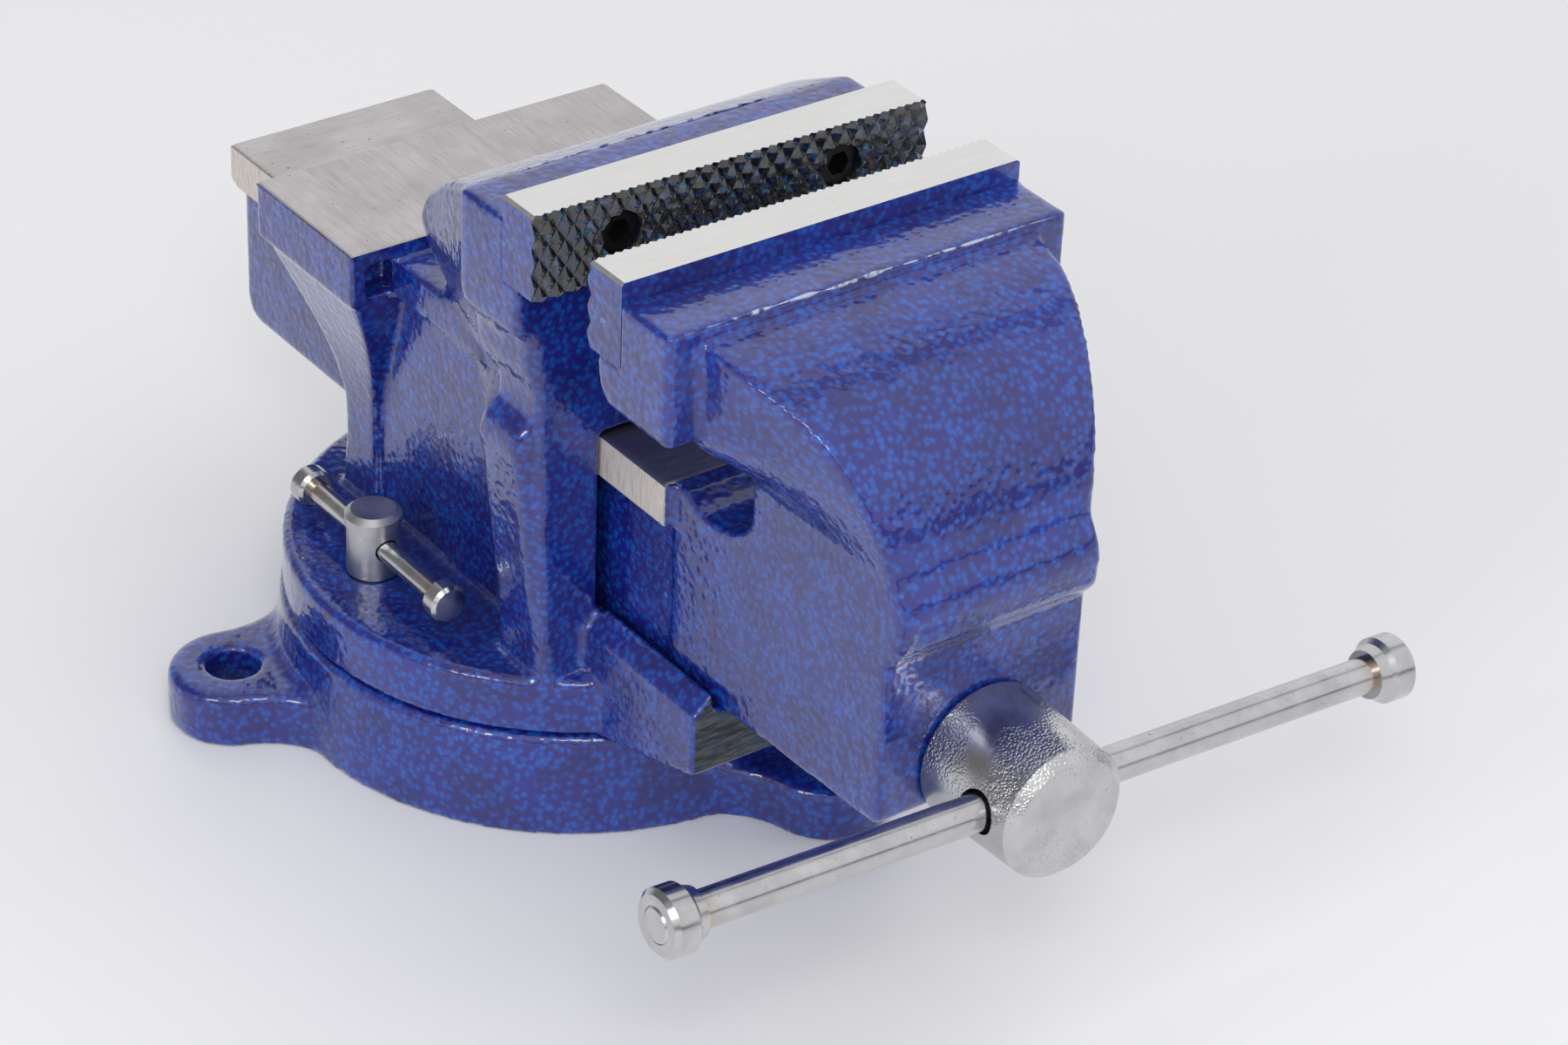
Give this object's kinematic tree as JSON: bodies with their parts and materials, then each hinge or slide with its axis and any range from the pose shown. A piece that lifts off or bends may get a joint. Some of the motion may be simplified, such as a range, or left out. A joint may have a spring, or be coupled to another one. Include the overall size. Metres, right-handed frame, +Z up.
{
  "type": "bench vise",
  "caption": "Swivel-base bench vise: ribbed cast body with anvil table, sliding jaw driven by a screw and tee handle, and side lock screws.",
  "frame": {"origin": "centre of the base's underside, on the swivel axis", "axes": "+Z up along the swivel axis, +X along the jaws' width, -Y towards the spindle handle"},
  "size_m": [0.1929, 0.2836, 0.159],
  "materials": {
    "blue_paint": "glossy hammertone paint, bare machined steel on the worked faces",
    "plate_steel": "black oxide with ground top edges",
    "screw_black": "black oxide",
    "bright_plating": "bright zinc plating, lightly worn",
    "turned_steel": "oiled, as turned",
    "nut_iron": "machined"
  },
  "bodies": {
    "base": {"swivel_base": "blue_paint"},
    "swivel_body": {"fixed_body": "blue_paint", "pivot_bolt": "turned_steel", "pivot_washer": "turned_steel", "fixed_jaw_plate": "plate_steel", "fixed_jaw_screws": "screw_black", "spindle_nut": "nut_iron", "nut_screws": "screw_black", "lock_t_nut_left": "nut_iron", "lock_t_nut_right": "nut_iron"},
    "jaw": {"movable_jaw": "blue_paint", "moving_jaw_plate": "plate_steel", "moving_jaw_screws": "screw_black"},
    "spindle": {"spindle_screw": "turned_steel", "spindle_head": "bright_plating", "thrust_washer": "turned_steel", "retaining_collar": "turned_steel", "collar_pin": "turned_steel"},
    "handle": {"handle_bar": "bright_plating", "handle_cap_left": "bright_plating", "handle_cap_right": "bright_plating"},
    "lock_left": {"lock_screw_left": "bright_plating"},
    "lock_left_bar": {"lock_bar_left": "bright_plating", "lock_bar_caps_left": "bright_plating"},
    "lock_right": {"lock_screw_right": "bright_plating"},
    "lock_right_bar": {"lock_bar_right": "bright_plating", "lock_bar_caps_right": "bright_plating"}
  },
  "joints": [
    {"name": "body_swivel", "type": "hinge", "parent": "base", "child": "swivel_body", "pos_m": [0, 0, 0.025], "axis": [0, 0, 1], "continuous": true},
    {"name": "jaw_slide", "type": "slide", "parent": "swivel_body", "child": "jaw", "axis": [0, 1, 0], "range_m": [-0.08, 0.019]},
    {"name": "spindle_turn", "type": "hinge", "parent": "jaw", "child": "spindle", "pos_m": [0, -0.16, 0.0639], "axis": [0, 1, 0], "range_deg": [-5764, 1372]},
    {"name": "handle_slide", "type": "slide", "parent": "spindle", "child": "handle", "axis": [0.9987, 0, -0.0506], "range_m": [-0.074, 0.068]},
    {"name": "lock_left_turn", "type": "hinge", "parent": "swivel_body", "child": "lock_left", "pos_m": [-0.0492, 0.007, 0.047], "axis": [0, 0, 1], "range_deg": [-12, 0.5]},
    {"name": "lock_left_bar_slide", "type": "slide", "parent": "lock_left", "child": "lock_left_bar", "axis": [0, 1, 0], "range_m": [-0.008, 0.008]},
    {"name": "lock_right_turn", "type": "hinge", "parent": "swivel_body", "child": "lock_right", "pos_m": [0.0492, 0.007, 0.047], "axis": [0, 0, 1], "range_deg": [-0.5, 12]},
    {"name": "lock_right_bar_slide", "type": "slide", "parent": "lock_right", "child": "lock_right_bar", "axis": [0, 1, 0], "range_m": [-0.008, 0.008]}
  ],
  "couplings": [
    {"joint": "spindle_turn", "follows": "jaw_slide", "rad_per_m": 1256.6}
  ]
}
